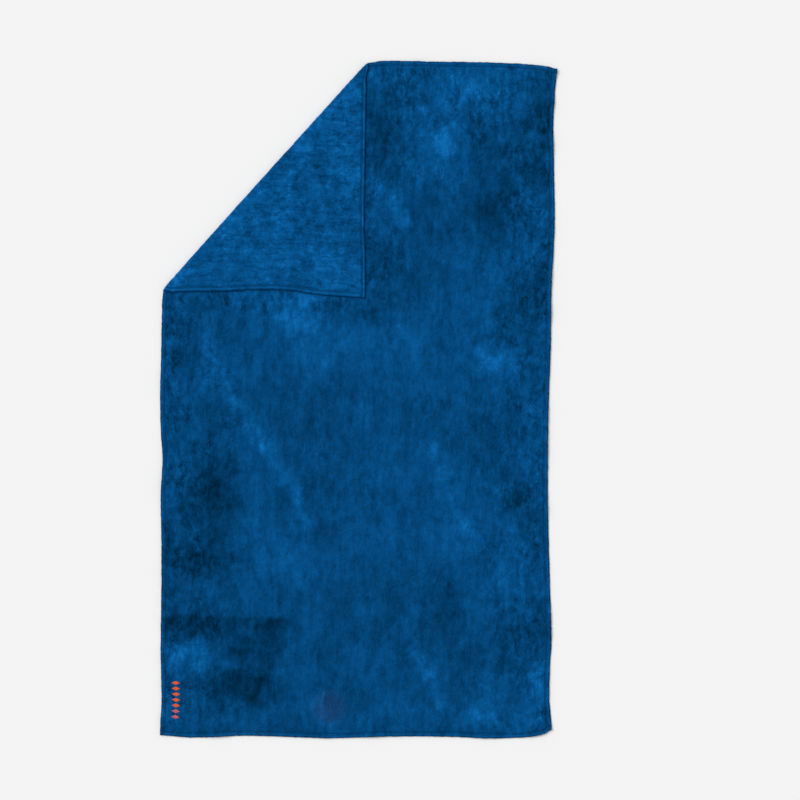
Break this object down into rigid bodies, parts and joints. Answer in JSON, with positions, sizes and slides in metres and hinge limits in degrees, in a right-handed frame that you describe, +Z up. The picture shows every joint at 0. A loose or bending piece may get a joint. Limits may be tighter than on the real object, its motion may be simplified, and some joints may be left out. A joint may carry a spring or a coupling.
{
  "type": "quick dry towel",
  "caption": "Rectangular plush microfibre towel lying flat with one corner folded over, with a flat sewn hem all round.",
  "frame": {"origin": "on the surface that the towel lies on, under the middle of the folded towel's outline", "axes": "+X across the towel, +Y along its length towards the end with the folded corner, +Z up from the surface"},
  "size_m": [1.01, 1.75, 0.0083],
  "materials": {
    "plush": "matte",
    "hem": "matte",
    "seam_thread": "satin",
    "mark_thread": "satin",
    "patch": "matte"
  },
  "bodies": {
    "main_panel": {"cloth_main": "plush", "hem_bottom": "hem", "hem_right": "hem", "hem_top": "hem", "hem_left": "hem", "needle_thread_bottom": "seam_thread", "needle_thread_right": "seam_thread", "needle_thread_top": "seam_thread", "needle_thread_left": "seam_thread", "looper_thread_bottom": "seam_thread", "looper_thread_right": "seam_thread", "looper_thread_top": "seam_thread", "looper_thread_left": "seam_thread", "tack_left_bottom": "seam_thread", "tack_bottom_right": "seam_thread", "tack_right_top": "seam_thread", "mark_lozenge_1": "mark_thread", "mark_lozenge_2": "mark_thread", "mark_lozenge_3": "mark_thread", "mark_lozenge_4": "mark_thread", "mark_lozenge_5": "mark_thread", "mark_lozenge_6": "mark_thread", "mark_lozenge_7": "mark_thread", "care_patch": "patch"},
    "folded_corner": {"cloth_corner": "plush", "hem_corner_top": "hem", "hem_corner_left": "hem", "needle_thread_corner_top": "seam_thread", "needle_thread_corner_left": "seam_thread", "looper_thread_corner_top": "seam_thread", "looper_thread_corner_left": "seam_thread", "tack_top_left": "seam_thread"}
  },
  "joints": [
    {"name": "corner_fold", "type": "hinge", "parent": "main_panel", "child": "folded_corner", "pos_m": [-0.23375, 0.5755, 0.00415], "axis": [-0.6713, -0.7412, 0], "range_deg": [0, 180]}
  ]
}
